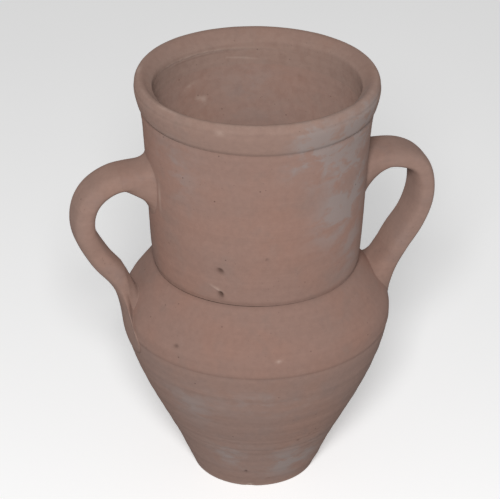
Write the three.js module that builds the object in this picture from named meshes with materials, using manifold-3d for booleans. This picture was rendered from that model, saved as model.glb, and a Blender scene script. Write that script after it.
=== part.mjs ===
// A two-handled earthenware amphora with a wide mouth, standing on its own flat base.
// Millimetres, +Z up. The origin is the centre of the base's underside, on the turning axis.
// The handles stand on the X axis.
//
// The jar is put together as a potter does it: a lower body, an upper body and a neck are
// thrown apart and set rim to rim on bevelled seams, a band of clay is thrown onto the neck
// as the lip, coils of soft clay are pressed over the two seams from the inside, and two
// pulled handles are set on with a collar of clay at each end.

import * as THREE from "three";
import { mergeVertices } from "three/addons/utils/BufferGeometryUtils.js";
import Module from "manifold-3d";

// ---- driving dimensions ------------------------------------------------------------------

const BODY_HEIGHT = 190;          // base to the crease where the neck springs
const NECK_HEIGHT = 135;          // crease to the groove below the lip band
const LIP_BAND_HEIGHT = 26;       // groove to the top of the lip

const BASE_RADIUS = 50.7;         // flat underside, before its edge is rounded
const BASE_EDGE_ROUND = 1.5;
const FOOT_HEIGHT = 34;           // the steeper, trimmed zone above the base
const FOOT_TOP_RADIUS = 65;
const BELLY_DROP = 40;            // crease down to the widest part of the body
const BELLY_RADIUS = 108.6;
const BODY_SEAM_DROP = 11;        // from there down to where the upper body sits on the lower one
const NECK_FOOT_RADIUS = 82;      // at the crease
const NECK_RADIUS = 86.7;         // the long straight part of the neck
const NECK_TOP_RADIUS = 91.5;     // at the groove
const LIP_RADIUS = 96;            // widest part of the lip band
const LIP_BAND_FOOT_RADIUS = 93;  // just above the groove
const LIP_TOP_RADIUS = 92.4;      // outer edge of the lip's top
const LIP_BULGE_DROP = 6;         // lip's widest circle, below its top
const MOUTH_RADIUS = 81.6;        // inner edge of the lip
const MOUTH_DROP = 8;             // the lip's top slopes down to the mouth by this much

const WALL = 8.5;
const FLOOR = 10;                 // thickness of the floor
const FLOOR_CORNER_ROUND = 12;    // inside, between floor and wall
const SEAM_BEVEL = 3;             // each seam drops this much from outside to inside

const HANDLE_REACH = 148;         // turning axis to the outside of a handle
const HANDLE_THICKNESS = 17.5;    // across the strap, in the plane of the loop
const HANDLE_WIDTH = 36;          // along Y
const HANDLE_ROOT_RISE = 81;      // above the crease: centre of the strap where it leaves the neck
const HANDLE_CROWN_RISE = 2.5;    // the strap climbs this much above its root
const HANDLE_BEND_RISE = 50;      // above the crease: the strap's furthest reach
const HANDLE_FOOT_DROP = 22;      // below the crease: centre of the strap where it lands
const ROOT_DEPTH = 9;             // how far a strap's end runs on below the jar's surface

const COLLAR_SPREAD = 9;          // clay pressed round the upper end of a handle
const COLLAR_PROUD = 7;
const TAIL_RISE = 16;             // clay smeared over the shoulder: this far above a handle's foot
const TAIL_DROP = 58;             // and this far below it
const TAIL_SPREAD = 7;
const TAIL_PROUD = 6;
const COIL_HALF_HEIGHT = 9;       // soft coil pressed over a seam, inside
const COIL_PROUD = 4;

const CLEARANCE = 0.3;            // left between pieces that touch
const TURN_STEPS = 48;            // facets round the turning axis
const CURVE_STEPS = 6;            // facets along each curved stretch of an outline
const COIL_STEPS = 12;            // facets round the section of a seam coil
const STRAP_STEPS = 26;           // facets along a handle
const STRAP_CURVE_STEPS = 8;      // half the facets round a handle
const PAD_STEPS = 20;             // facets round a pad of luting clay

// ---- clay colours ------------------------------------------------------------------------

const CLAY_BODY = "#8f7468";
const CLAY_NECK = "#91756a";
const CLAY_LIP = "#94776b";
const CLAY_HANDLE = "#9a7b6e";
const CLAY_LUTING = "#96796c";

// ---- solids ------------------------------------------------------------------------------

const solids = await Module();
solids.setup();

// A closed geometry as a solid that can be cut.
function toSolid(geometry) {
  const bare = geometry.clone();
  bare.deleteAttribute("normal");
  bare.deleteAttribute("uv");
  const merged = mergeVertices(bare, 1e-4);
  const mesh = new solids.Mesh({
    numProp: 3,
    vertProperties: Float32Array.from(merged.attributes.position.array),
    triVerts: Uint32Array.from(merged.index.array),
  });
  return new solids.Manifold(mesh);
}

function toGeometry(solid) {
  const mesh = solid.getMesh();
  const geometry = new THREE.BufferGeometry();
  geometry.setAttribute("position", new THREE.BufferAttribute(Float32Array.from(mesh.vertProperties), 3));
  geometry.setIndex(new THREE.BufferAttribute(Uint32Array.from(mesh.triVerts), 1));
  geometry.computeVertexNormals();
  return geometry;
}

// Turns an outline of (radius, height) points about +Z.
function turned(outline) {
  const geometry = new THREE.LatheGeometry(outline, TURN_STEPS);
  geometry.rotateX(Math.PI / 2);
  return geometry;
}

// ---- outlines ----------------------------------------------------------------------------

function point(radius, height) {
  return new THREE.Vector2(radius, height);
}

function curved(start, startPull, endPull, end, steps = CURVE_STEPS) {
  return new THREE.CubicBezierCurve(start, startPull, endPull, end).getPoints(steps);
}

// Joins stretches end to end and drops the points that two stretches share.
function joined(...stretches) {
  const outline = [];
  for (const next of stretches.flat()) {
    const last = outline.at(-1);
    if (!last || last.distanceTo(next) > 1e-6) {
      outline.push(next);
    }
  }
  return outline;
}

// Moves an outline that climbs upward sideways: outward when distance is positive.
function offset(outline, distance) {
  return outline.map((here, i) => {
    const before = outline[Math.max(i - 1, 0)];
    const after = outline[Math.min(i + 1, outline.length - 1)];
    const along = after.clone().sub(before).normalize();
    return point(here.x + along.y * distance, here.y - along.x * distance);
  });
}

function radiusAt(outline, height) {
  const top = outline.findIndex((p) => p.y >= height);
  const above = outline[top];
  const below = outline[top - 1];
  const share = (height - below.y) / (above.y - below.y);
  return below.x + share * (above.x - below.x);
}

// The part of a climbing outline between two heights, cut exactly at both.
function between(outline, low, high) {
  const inside = outline.filter((p) => p.y > low + 1e-6 && p.y < high - 1e-6);
  return [point(radiusAt(outline, low), low), ...inside, point(radiusAt(outline, high), high)];
}

const creaseHeight = BODY_HEIGHT;
const grooveHeight = creaseHeight + NECK_HEIGHT;
const topHeight = grooveHeight + LIP_BAND_HEIGHT;
const mouthHeight = topHeight - MOUTH_DROP;
const bellyHeight = creaseHeight - BELLY_DROP;

const footTop = point(FOOT_TOP_RADIUS, FOOT_HEIGHT);
const belly = point(BELLY_RADIUS, bellyHeight);
const crease = point(NECK_FOOT_RADIUS, creaseHeight);
const groove = point(NECK_TOP_RADIUS, grooveHeight);

const footOutline = [point(BASE_RADIUS, BASE_EDGE_ROUND), footTop];

const bellyOutline = curved(
  footTop,
  footTop.clone().lerp(belly, 0.28).add(point(4, 0)),
  point(BELLY_RADIUS, bellyHeight - 0.28 * (bellyHeight - FOOT_HEIGHT)),
  belly,
);

const shoulderOutline = curved(
  belly,
  point(BELLY_RADIUS, bellyHeight + 0.22 * (creaseHeight - bellyHeight)),
  crease.clone().lerp(belly, 0.35).add(point(1.5, 2)),
  crease,
);

const neckOutline = curved(
  crease,
  point(NECK_RADIUS, creaseHeight + 0.18 * NECK_HEIGHT),
  point(NECK_RADIUS, creaseHeight + 0.74 * NECK_HEIGHT),
  groove,
);

const lipOutline = [
  groove,
  point(LIP_BAND_FOOT_RADIUS, grooveHeight + 2),
  ...curved(
    point(LIP_BAND_FOOT_RADIUS, grooveHeight + 2),
    point(LIP_RADIUS, topHeight - 2.2 * LIP_BULGE_DROP),
    point(LIP_RADIUS + 2.3, topHeight - LIP_BULGE_DROP),
    point(LIP_TOP_RADIUS, topHeight),
  ),
];

// The outside, from just above the base's edge to the top of the lip.
const outside = joined(footOutline, bellyOutline, shoulderOutline, neckOutline, lipOutline);

// The inside, from the floor's corner to the inner edge of the lip.
const innerWall = offset(joined(footOutline, bellyOutline, shoulderOutline, neckOutline), -WALL);
const cornerTopHeight = FLOOR + FLOOR_CORNER_ROUND;
const cornerTop = point(radiusAt(innerWall, cornerTopHeight), cornerTopHeight);
const floorEdge = point(cornerTop.x - FLOOR_CORNER_ROUND, FLOOR);
const cornerPull = point(radiusAt(innerWall, FLOOR + 2) - 2, FLOOR);
const floorCorner = new THREE.QuadraticBezierCurve(floorEdge, cornerPull, cornerTop).getPoints(CURVE_STEPS);
const inside = joined(
  floorCorner,
  innerWall.filter((p) => p.y > cornerTopHeight && p.y < grooveHeight - 1),
  [point(MOUTH_RADIUS, mouthHeight)],
);

// ---- thrown pieces -----------------------------------------------------------------------

const bodySeam = bellyHeight - BODY_SEAM_DROP;
const neckSeam = creaseHeight;
const lipSeam = grooveHeight;

// A ring of wall between two seams. Both seams drop by SEAM_BEVEL towards the inside.
function wallRing(lowSeam, highSeam) {
  const outer = between(outside, lowSeam + CLEARANCE, highSeam);
  const inner = between(inside, lowSeam + CLEARANCE - SEAM_BEVEL, highSeam - SEAM_BEVEL);
  return [...outer, ...inner.reverse(), outer[0].clone()];
}

function lowerBodyOutline() {
  const edge = new THREE.QuadraticBezierCurve(
    point(BASE_RADIUS - BASE_EDGE_ROUND, 0),
    point(BASE_RADIUS - 0.3 * BASE_EDGE_ROUND, 0),
    point(BASE_RADIUS, BASE_EDGE_ROUND),
  ).getPoints(3);
  const outer = between(outside, BASE_EDGE_ROUND + 0.01, bodySeam).slice(1);
  const inner = between(inside, FLOOR + 0.01, bodySeam - SEAM_BEVEL).slice(1);
  return [point(0, 0), ...edge, ...outer, ...inner.reverse(), floorEdge, point(0, FLOOR)];
}

// The lip band closes over the top and stops at its own bevelled seam.
function lipBandOutline() {
  const outer = between(outside, lipSeam + CLEARANCE, topHeight);
  const mouth = point(MOUTH_RADIUS, mouthHeight);
  const innerLowHeight = lipSeam + CLEARANCE - SEAM_BEVEL;
  const innerLow = point(radiusAt(inside, innerLowHeight), innerLowHeight);
  return [...outer, mouth, innerLow, outer[0].clone()];
}

// ---- coils over the seams, inside --------------------------------------------------------

// A bead of clay on the inner wall over a seam, never closer to the wall than the clearance.
function seamCoil(seamHeight, cavity) {
  const height = seamHeight - SEAM_BEVEL;
  const radius = radiusAt(inside, height);
  const outline = new THREE.EllipseCurve(radius, height, COIL_PROUD, COIL_HALF_HEIGHT).getPoints(COIL_STEPS);
  outline[outline.length - 1] = outline[0].clone();
  return toGeometry(toSolid(turned(outline)).intersect(cavity));
}

function cavitySolid() {
  const wall = offset(inside, -CLEARANCE);
  const floor = point(0, wall[0].y);
  const top = wall.at(-1);
  return toSolid(turned([floor, ...wall, point(0, top.y)]));
}

// The whole jar's outside as one solid, grown by the clearance, for cutting the handles.
function envelopeSolid() {
  const wall = offset(outside, CLEARANCE);
  return toSolid(turned([point(0, 0), point(wall[0].x, 0), ...wall, point(0, wall.at(-1).y)]));
}

// ---- handles -----------------------------------------------------------------------------

const rootHeight = creaseHeight + HANDLE_ROOT_RISE;
const crownHeight = rootHeight + HANDLE_CROWN_RISE;
const bendHeight = creaseHeight + HANDLE_BEND_RISE;
const landingHeight = creaseHeight - HANDLE_FOOT_DROP;
const rootRadius = radiusAt(outside, rootHeight);
const bendRadius = HANDLE_REACH - HANDLE_THICKNESS / 2;
const landingRadius = radiusAt(outside, landingHeight);

// The middle line of the strap: out of the neck, over the crown, round the bend and down
// onto the shoulder. Its two ends run on below the surface and are cut off there.
function strapLine() {
  const span = bendRadius - rootRadius;
  const drop = bendHeight - landingHeight;
  const overhang = bendRadius - landingRadius;
  return new THREE.CatmullRomCurve3([
    new THREE.Vector3(rootRadius - ROOT_DEPTH, 0, rootHeight - 1),
    new THREE.Vector3(rootRadius + 0.45 * span, 0, crownHeight),
    new THREE.Vector3(rootRadius + 0.82 * span, 0, crownHeight - 0.3 * (crownHeight - bendHeight)),
    new THREE.Vector3(bendRadius, 0, bendHeight),
    new THREE.Vector3(bendRadius - 0.3 * overhang, 0, bendHeight - 0.5 * drop),
    new THREE.Vector3(landingRadius + 0.17 * overhang, 0, landingHeight + 0.15 * drop),
    new THREE.Vector3(landingRadius - ROOT_DEPTH, 0, landingHeight - 1.4 * ROOT_DEPTH),
  ]);
}

function strapSolid(grow) {
  const section = new THREE.Shape();
  section.absellipse(0, 0, HANDLE_WIDTH / 2 + grow, HANDLE_THICKNESS / 2 + grow, 0, 2 * Math.PI);
  const geometry = new THREE.ExtrudeGeometry(section, {
    extrudePath: strapLine(),
    steps: STRAP_STEPS,
    curveSegments: STRAP_CURVE_STEPS,
    bevelEnabled: false,
  });
  return toSolid(geometry);
}

function handleGeometry(envelope) {
  return toGeometry(strapSolid(0).subtract(envelope));
}

// A pad of clay with thin edges, wrapped over the jar's outside between two heights.
function wrappedPad(proud, halfWidth, lowHeight, highHeight) {
  const geometry = new THREE.SphereGeometry(1, PAD_STEPS, PAD_STEPS / 2);
  const position = geometry.attributes.position;
  for (let i = 0; i < position.count; i += 1) {
    const share = (position.getZ(i) + 1) / 2;
    const height = lowHeight + share * (highHeight - lowHeight);
    const radius = radiusAt(outside, height) + proud * position.getX(i);
    const angle = (halfWidth * position.getY(i)) / radius;
    position.setXYZ(i, radius * Math.cos(angle), radius * Math.sin(angle), height);
  }
  return toSolid(geometry);
}

function lutingGeometry(pad, grownStrap, envelope) {
  return toGeometry(pad.subtract(grownStrap).subtract(envelope));
}

// The collar lies on the neck round the strap's upper end.
function collarPad() {
  const halfLength = HANDLE_THICKNESS / 2 + COLLAR_SPREAD;
  const low = rootHeight - halfLength;
  const high = rootHeight + halfLength;
  return wrappedPad(COLLAR_PROUD, HANDLE_WIDTH / 2 + COLLAR_SPREAD, low, high);
}

// The tail lies on the shoulder and belly, longest below the strap's lower end.
function tailPad() {
  const low = landingHeight - TAIL_DROP;
  const high = landingHeight + TAIL_RISE;
  return wrappedPad(TAIL_PROUD, HANDLE_WIDTH / 2 + TAIL_SPREAD, low, high);
}

// ---- assembly ----------------------------------------------------------------------------

function piece(name, geometry, colour, roughness = 0.9) {
  const material = new THREE.MeshStandardMaterial({ color: colour, roughness, metalness: 0 });
  const mesh = new THREE.Mesh(geometry, material);
  mesh.name = name;
  return mesh;
}

const amphora = new THREE.Group();

amphora.add(piece("lower_body", turned(lowerBodyOutline()), CLAY_BODY));
amphora.add(piece("upper_body", turned(wallRing(bodySeam, neckSeam)), CLAY_BODY));
amphora.add(piece("neck", turned(wallRing(neckSeam, lipSeam)), CLAY_NECK));
amphora.add(piece("lip_band", turned(lipBandOutline()), CLAY_LIP));

const cavity = cavitySolid();
amphora.add(piece("belly_seam_coil", seamCoil(bodySeam, cavity), CLAY_LUTING));
amphora.add(piece("neck_seam_coil", seamCoil(neckSeam, cavity), CLAY_LUTING));

const envelope = envelopeSolid();
const grownStrap = strapSolid(CLEARANCE);
const sides = [
  { side: "right", turn: 0 },
  { side: "left", turn: Math.PI },
];
for (const { side, turn } of sides) {
  const arm = new THREE.Group();
  arm.rotation.z = turn;
  arm.add(piece(`handle_${side}`, handleGeometry(envelope), CLAY_HANDLE));
  arm.add(piece(`upper_luting_${side}`, lutingGeometry(collarPad(), grownStrap, envelope), CLAY_LUTING));
  arm.add(piece(`lower_luting_${side}`, lutingGeometry(tailPad(), grownStrap, envelope), CLAY_LUTING));
  amphora.add(arm);
}

export default amphora;
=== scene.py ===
"""A two-handled earthenware amphora, fired but unglazed, standing on a pale studio floor.

The jar is built as a potter would: three thrown walls with finger rings, a lip band,
coils pressed over the seams inside, and two pulled handles luted on with smeared clay.
Lengths are in millimetres until a mesh is made. Blender gets metres.
"""
from math import cos, pi, radians, sin

import bpy
import numpy as np
from mathutils import Matrix, Vector


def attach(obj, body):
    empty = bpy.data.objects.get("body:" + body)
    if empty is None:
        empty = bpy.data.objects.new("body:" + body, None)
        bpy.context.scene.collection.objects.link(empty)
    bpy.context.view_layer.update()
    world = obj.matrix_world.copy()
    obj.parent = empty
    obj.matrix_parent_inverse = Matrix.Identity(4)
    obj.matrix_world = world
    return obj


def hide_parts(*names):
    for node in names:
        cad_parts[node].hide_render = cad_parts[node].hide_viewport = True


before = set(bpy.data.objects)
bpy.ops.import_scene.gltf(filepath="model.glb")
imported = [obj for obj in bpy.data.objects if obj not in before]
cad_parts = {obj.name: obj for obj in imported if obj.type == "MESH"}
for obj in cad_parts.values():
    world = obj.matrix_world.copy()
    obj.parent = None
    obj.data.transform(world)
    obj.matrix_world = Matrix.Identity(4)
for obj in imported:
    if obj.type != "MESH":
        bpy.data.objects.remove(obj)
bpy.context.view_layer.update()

MM = 0.001

# ---- the jar's own sizes, as in the frame ----

CREASE = 190.0            # neck springs from the shoulder here
GROOVE = 325.0            # groove below the lip band
TOP = 351.0
LIP_LINE = TOP - 7.0      # shallow line round the lip
MOUTH = 343.0             # inner edge of the lip
BELLY = 150.0
BODY_SEAM = 139.0         # upper body sits on the lower one
SEAM_BEVEL = 3.0
WALL = 8.5
FLOOR = 10.0
FLOOR_CORNER = 12.0
BASE_ROUND = 1.5
SEAM_GAP = 0.02
MEAN_RADIUS = 90.0        # turns degrees round the jar into lengths

FOOT_TOP = (65.0, 34.0)
BASE_EDGE = (50.7, BASE_ROUND)
BELLY_POINT = (108.6, BELLY)
CREASE_POINT = (82.0, CREASE)
NECK_RADIUS = 86.7
GROOVE_POINT = (91.5, GROOVE)
LIP_FOOT = (93.0, GROOVE + 2.0)
LIP_RIM = (93.4, TOP - 0.3)
LIP_CREST = (89.0, TOP - 0.5)
MOUTH_POINT = (81.6, MOUTH)

ROW = 1.15                # spacing of mesh rows up the outside
FINE_ROW = 0.6            # and where the clay is pitted
INSIDE_ROW = 1.8
LIP_ROW = 0.65
SHARP_EDGE = 42.0         # degrees from which an edge isn't shaded smooth


# ---- outlines ----

def mix(a, b, share):
    return tuple(x + (y - x) * share for x, y in zip(a, b))


def straight(start, end, count=24):
    share = np.linspace(0.0, 1.0, count)[:, None]
    return (1.0 - share) * np.array(start) + share * np.array(end)


def curved(start, pull, push, end, count=80):
    """A cubic curve between two points, leaving towards pull and arriving from push."""
    t = np.linspace(0.0, 1.0, count)[:, None]
    s = 1.0 - t
    parts = s**3 * np.array(start) + 3 * s**2 * t * np.array(pull)
    return parts + 3 * s * t**2 * np.array(push) + t**3 * np.array(end)


def joined(*stretches):
    """Stretches end to end, without the points that two of them share."""
    line = np.concatenate(stretches)
    moved = np.linalg.norm(np.diff(line, axis=0), axis=1) > 1e-6
    return line[np.concatenate([[True], moved])]


def lengths_along(line):
    steps = np.linalg.norm(np.diff(line, axis=0), axis=1)
    return np.concatenate([[0.0], np.cumsum(steps)])


def at_lengths(line, lengths):
    along = lengths_along(line)
    columns = [np.interp(lengths, along, line[:, k]) for k in range(line.shape[1])]
    return np.stack(columns, axis=1)


def softened(line, reach):
    """A line with its corners eased over about that reach. Its two ends stay."""
    total = lengths_along(line)[-1]
    count = int(total / 0.25)
    even = at_lengths(line, np.linspace(0.0, total, count))
    half = int(4 * reach)
    weights = np.exp(-0.5 * (np.arange(-3 * half, 3 * half + 1) / max(half, 1)) ** 2)
    weights = weights / weights.sum()
    head = 2 * even[0] - even[1:3 * half + 1][::-1]
    tail = 2 * even[-1] - even[-3 * half - 1:-1][::-1]
    padded = np.concatenate([head, even, tail])
    eased = [np.convolve(padded[:, k], weights, mode="valid") for k in range(2)]
    return np.stack(eased, axis=1)


def sideways(line, distance):
    """A climbing line moved outward by that distance along its own normal."""
    slope = np.gradient(line, axis=0)
    slope = slope / np.linalg.norm(slope, axis=1)[:, None]
    return line + distance * np.stack([slope[:, 1], -slope[:, 0]], axis=1)


def outer_wall():
    """The outside from the base's edge up to the groove under the lip."""
    foot = straight(BASE_EDGE, FOOT_TOP)
    pull = mix(FOOT_TOP, BELLY_POINT, 0.28)
    low = curved(
        FOOT_TOP,
        (pull[0] + 4.0, pull[1]),
        (BELLY_POINT[0], BELLY - 0.28 * (BELLY - FOOT_TOP[1])),
        BELLY_POINT,
    )
    push = mix(CREASE_POINT, BELLY_POINT, 0.35)
    shoulder = curved(
        BELLY_POINT,
        (BELLY_POINT[0], BELLY + 0.22 * (CREASE - BELLY)),
        (push[0] + 1.5, push[1] + 2.0),
        CREASE_POINT,
    )
    height = GROOVE - CREASE
    neck = curved(
        CREASE_POINT,
        (NECK_RADIUS, CREASE + 0.18 * height),
        (NECK_RADIUS, CREASE + 0.74 * height),
        GROOVE_POINT,
    )
    return joined(foot, low, shoulder, neck)


def lip_outside():
    foot = straight(GROOVE_POINT, LIP_FOOT, 6)
    band = curved(LIP_FOOT, (96.0, TOP - 13.2), (98.3, TOP - 6.0), LIP_RIM, 60)
    return joined(foot, band)


OUTSIDE = softened(joined(outer_wall(), lip_outside()), 0.8)


def outer_radius(height):
    return np.interp(height, OUTSIDE[:, 1], OUTSIDE[:, 0])


def inner_wall():
    """The inside from the floor's corner up to the mouth, easing in under the lip."""
    wall = sideways(softened(outer_wall(), 3.0), -WALL)
    low = wall[wall[:, 1] < GROOVE - 12.0]
    return softened(joined(low, straight(low[-1], MOUTH_POINT)), 5.0)


INSIDE = inner_wall()


def inner_radius(height):
    return np.interp(height, INSIDE[:, 1], INSIDE[:, 0])


def even_rows(line, low, high, spacing):
    """A climbing line cut exactly at two heights, with rows as far apart as spacing says."""
    heights = np.linspace(low, high, 1200)
    radii = np.interp(heights, line[:, 1], line[:, 0])
    piece = np.stack([radii, heights], axis=1)
    along = lengths_along(piece)
    density = np.cumsum(np.gradient(along) / spacing(heights))
    density = density - density[0]
    count = max(int(round(density[-1])), 2)
    picked = np.interp(np.linspace(0.0, density[-1], count + 1), density, along)
    return at_lengths(piece, picked)


def outside_spacing(heights):
    pitted = (heights > 196.0) & (heights < 226.0)
    return np.where(pitted, FINE_ROW, ROW)


def inside_spacing(heights):
    return np.full_like(heights, INSIDE_ROW)


def turn_angles():
    """Angles of the mesh columns: one full turn, closer together where the clay is pitted."""
    stretches = [
        (0.0, 219.0, 1.1),
        (219.0, 229.0, 0.7),
        (229.0, 243.0, 0.36),
        (243.0, 256.0, 0.7),
        (256.0, 360.0, 1.1),
    ]
    turns = []
    for start, end, step in stretches:
        count = int(round((end - start) / step))
        turns.append(np.linspace(start, end, count, endpoint=False))
    return np.radians(np.concatenate(turns))


TURN = turn_angles()


# ---- relief: how far the clay stands off its plain outline ----

def bell(value, middle, width):
    return np.exp(-0.5 * ((value - middle) / width) ** 2)


def ramp(value, low, high):
    share = np.clip((value - low) / (high - low), 0.0, 1.0)
    return share * share * (3.0 - 2.0 * share)


def apart(turn, degrees):
    """Degrees between each column and a place on the turn, from -180 to 180."""
    return (np.degrees(turn) - degrees + 180.0) % 360.0 - 180.0


def across(turn, degrees, radius=MEAN_RADIUS):
    """Millimetres round the jar from a place on the turn."""
    return radians(1.0) * apart(turn, degrees) * radius


def lumps(turn, height, seed, size, count=14):
    """Soft unevenness of about that size, in -1 to 1, that closes round the turn."""
    dice = np.random.default_rng(seed)
    most = max(int(2 * pi * MEAN_RADIUS / size), 2)
    total = 0.0
    for _ in range(count):
        waves = int(dice.integers(0, most))
        climb = dice.uniform(-1.0, 1.0) * 2 * pi / size
        phase = dice.uniform(0.0, 2 * pi)
        total = total + np.cos(waves * turn + climb * height + phase)
    return total / (count**0.5 * 1.5)


def finger_rings(turn, height, pitch, seed):
    """The spiral left by the fingers as the wall is pulled up, in -1 to 1."""
    dice = np.random.default_rng(seed)
    total = 0.0
    for share, strength in ((1.0, 1.0), (0.61, 0.55), (1.73, 0.6), (0.37, 0.35)):
        phase = dice.uniform(0.0, 2 * pi)
        drift = 0.5 * np.sin(turn + phase) + 0.9 * np.sin(0.021 * height + phase)
        total = total + strength * np.sin(2 * pi * height / (pitch * share) - turn + phase + drift)
    return total / 2.0


def out_of_round(turn, height):
    return 0.35 * np.cos(2 * turn + 1.1 + 0.004 * height) + 0.2 * np.cos(3 * turn - 0.6)


def pit(turn, height, degrees, level, wide, tall, depth, lean=0.0):
    """A hollow with a slightly raised rim. lean slopes it, in millimetres up per millimetre round."""
    x = across(turn, degrees) / wide
    y = (height - level - lean * across(turn, degrees)) / tall
    reach = np.sqrt(x * x + y * y)
    return -depth * np.exp(-(reach**3)) + 0.18 * depth * bell(reach, 1.5, 0.35)


# Lines cut round the body by a tool: level, sway, depth and width.
TOOL_LINES = ((49.5, 1.0, 0.3, 0.8), (62.0, -1.0, 0.22, 1.0), (113.0, 1.0, 0.16, 1.2))


def outside_relief(turn, height):
    relief = out_of_round(turn, height)
    body = 1.0 - ramp(height, 186.0, 194.0)
    neck = ramp(height, 188.0, 196.0) * (1.0 - ramp(height, 322.0, 326.0))
    settle = ramp(height, 3.0, 12.0)
    relief = relief * settle
    relief = relief + 0.13 * body * settle * finger_rings(turn, height, 13.0, 3)
    relief = relief + 0.045 * neck * finger_rings(turn, height, 10.0, 5)
    relief = relief + 0.2 * settle * lumps(turn, height, 11, 75.0)
    relief = relief + 0.05 * settle * lumps(turn, height, 12, 17.0, 22)
    wander = 0.5 * np.sin(turn + 0.4) + 0.25 * np.sin(2 * turn)
    relief = relief - 0.32 * bell(height, BODY_SEAM + 0.4 * wander, 1.3)
    relief = relief + 0.25 * bell(height, BODY_SEAM + 3.0 + wander, 1.6)
    for level, sway, depth, width in TOOL_LINES:
        relief = relief - depth * bell(height, level + sway * wander, width)
    relief = relief - 0.6 * bell(height, CREASE + 0.5, 1.3)
    relief = relief - 0.45 * bell(height, GROOVE, 1.7)
    relief = relief + 0.2 * bell(height, GROOVE - 5.0, 2.4)
    relief = relief - 0.42 * bell(height, LIP_LINE + 0.6 * wander, 1.0)
    return relief + outside_damage(turn, height)


# Air holes and chips as degrees, level, width, height, depth and lean.
PITS = (
    (238.5, 221.2, 2.2, 1.5, 1.3, -0.25),
    (238.3, 199.0, 1.9, 2.3, 1.7, -0.2),
    (221.8, 156.9, 1.1, 0.9, 0.7),
    (262.8, 233.9, 0.8, 0.6, 0.45),
    (250.8, 20.5, 1.3, 1.0, 0.8),
    (284.5, 57.5, 0.9, 0.7, 0.5),
    (74.0, 231.0, 1.6, 1.1, 0.7),
    (118.0, 96.0, 1.8, 1.2, 0.8),
    (31.0, 168.0, 1.2, 1.0, 0.6),
)


def outside_damage(turn, height):
    """Air holes, a nick at the foot and a smear where clay was dragged."""
    relief = sum(pit(turn, height, *settings) for settings in PITS)
    torn = across(turn, 236.6)
    relief = relief + 0.5 * bell(torn, 0.0, 3.2) * bell(height, 203.2 - 0.35 * torn, 0.8)
    smear = across(turn, 234.6)
    relief = relief + 0.35 * bell(smear, 0.0, 3.2) * bell(height, 204.8 - 0.3 * smear, 0.9)
    nick = bell(across(turn, 253.6, 50.0), 0.0, 2.0) * bell(height, 1.5, 1.8)
    return relief - 0.9 * nick


def inside_relief(turn, height):
    deep = 0.1 + 0.25 * (1.0 - ramp(height, 170.0, 240.0))
    relief = deep * finger_rings(turn, height, 11.0, 8)
    relief = relief + 0.25 * lumps(turn, height, 21, 60.0)
    relief = relief + 0.05 * lumps(turn, height, 22, 15.0, 22)
    edge = 336.3 + 0.035 * apart(turn, 110.0) + 0.5 * lumps(turn, height * 0.0, 23, 6.0, 22)
    kept = 0.08 + 0.92 * bell(apart(turn, 112.0), 0.0, 24.0)
    ledge = ramp(height, edge - 0.9, edge + 0.9) * (1.0 - ramp(height, 340.0, 343.0))
    relief = relief + 0.9 * kept * ledge
    for degrees, level, long, strength in ((112.0, 298.0, 9.0, 0.5), (119.0, 311.5, 12.0, 0.45)):
        x = across(turn, degrees, 80.0)
        sweep = level + 0.022 * x * x
        relief = relief - strength * bell(x, 0.0, long) * bell(height, sweep, 1.3)
    return relief


# ---- surface marks, carried by the mesh for the finishes to read ----

def cloud(turn, height, degrees, level, wide, tall, lean=0.0):
    x = across(turn, degrees)
    return bell(x, 0.0, wide) * bell(height, level + lean * x, tall)


# Shade in the crease, the body seam, the groove and the line round the lip: level, strength, width.
SEAM_SHADES = (
    (CREASE + 0.4, 0.25, 1.2),
    (BODY_SEAM, 0.1, 1.0),
    (GROOVE, 0.08, 1.2),
    (LIP_LINE, 0.07, 0.9),
)
# Painted marks as strength, degrees, level, width, height and lean. The first list is painted shade
# in the air holes and chips.
PIT_SHADES = (
    (1.0, 238.4, 221.0, 2.1, 1.4, -0.25),
    (1.2, 238.4, 198.9, 1.7, 2.1, -0.2),
    (0.7, 221.8, 156.9, 1.3, 1.0),
    (0.6, 262.8, 233.9, 1.0, 0.7),
    (0.8, 250.8, 20.4, 1.5, 1.0),
    (0.6, 284.5, 57.5, 1.0, 0.8),
    (0.6, 74.0, 231.0, 1.6, 1.0),
    (0.6, 118.0, 96.0, 1.8, 1.1),
)
SMEARS = (
    (0.6, 236.6, 203.2, 3.2, 0.8, -0.35),
    (0.35, 234.6, 204.8, 3.4, 1.0, -0.3),
    (1.0, 267.0, 154.7, 1.2, 0.8),
    (0.9, 253.6, 1.6, 3.0, 1.4),
    (0.6, 240.5, 344.6, 2.5, 1.5),
    (0.9, 197.5, 266.0, 0.9, 8.0),
)
BLOOM_CLOUDS = (
    (0.9, 283.0, 313.0, 11.0, 12.0),
    (0.9, 304.0, 322.0, 20.0, 15.0),
    (0.9, 314.0, 292.0, 19.0, 24.0),
    (0.7, 304.0, 262.0, 17.0, 15.0, 0.35),
    (0.45, 318.0, 226.0, 16.0, 22.0),
    (0.9, 283.0, 340.0, 10.0, 7.0),
    (0.8, 320.0, 338.0, 16.0, 9.0),
    (0.4, 212.0, 300.0, 16.0, 20.0),
    (0.4, 262.0, 111.0, 22.0, 10.0),
    (0.45, 225.0, 98.0, 15.0, 14.0),
    (0.6, 240.0, 40.0, 18.0, 11.0),
    (0.75, 285.0, 30.0, 30.0, 13.0),
    (0.5, 90.0, 250.0, 34.0, 24.0),
    (0.5, 140.0, 100.0, 30.0, 22.0),
)


def clouds(turn, height, marks):
    return sum(strength * cloud(turn, height, *place) for strength, *place in marks)


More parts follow.
